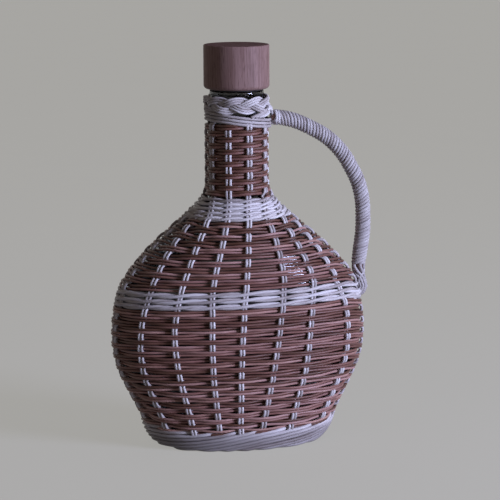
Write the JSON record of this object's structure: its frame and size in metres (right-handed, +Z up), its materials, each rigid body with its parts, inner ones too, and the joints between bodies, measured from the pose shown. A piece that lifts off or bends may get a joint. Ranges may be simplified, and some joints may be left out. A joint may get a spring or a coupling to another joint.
{
  "type": "wicker covered flask",
  "caption": "Flat oval glass flask in woven reed, with a long woven neck, a reed-wrapped cane handle and a pull-out wooden stopper.",
  "frame": {"origin": "middle of the base, on the surface that the flask stands on", "axes": "+X along the flask's wide way towards the handle, +Y through its thin way to the back, +Z up"},
  "size_m": [0.1605, 0.0744, 0.2399],
  "materials": {
    "glass": "clear blown glass",
    "white_reed": "natural peeled reed",
    "brown_reed": "reddish brown reed, satin",
    "cane": "bent cane",
    "beech": "turned beech, satin varnish",
    "cork": "natural cork",
    "dark_rubber": "matt"
  },
  "bodies": {
    "bottle": {"glass_flask": "glass", "base_mat": "white_reed", "foot_band": "white_reed", "lower_weave": "brown_reed", "middle_band": "white_reed", "upper_weave": "brown_reed", "shoulder_band": "white_reed", "neck_weave": "brown_reed", "stake_01": "white_reed", "stake_02": "white_reed", "stake_03": "white_reed", "stake_04": "white_reed", "stake_05": "white_reed", "stake_06": "white_reed", "stake_07": "white_reed", "stake_08": "white_reed", "stake_09": "white_reed", "stake_10": "white_reed", "stake_11": "white_reed", "stake_12": "white_reed", "stake_13": "white_reed", "stake_14": "white_reed", "stake_15": "white_reed", "stake_16": "white_reed", "stake_17": "white_reed", "stake_18": "white_reed", "neck_binding": "white_reed", "neck_braid": "white_reed", "handle_core": "cane", "handle_winding": "white_reed", "handle_top_lashing": "white_reed", "handle_lower_lashing": "white_reed"},
    "gasket": {"gasket_ring": "dark_rubber"},
    "stopper": {"cap_head": "beech", "cork_shank": "cork"}
  },
  "joints": [
    {"name": "stopper_pull", "type": "slide", "parent": "bottle", "child": "gasket", "axis": [0, 0, 1], "range_m": [0, 0.045]},
    {"name": "stopper_twist", "type": "hinge", "parent": "gasket", "child": "stopper", "pos_m": [0, 0, 0.2137], "axis": [0, 0, 1], "continuous": true}
  ]
}
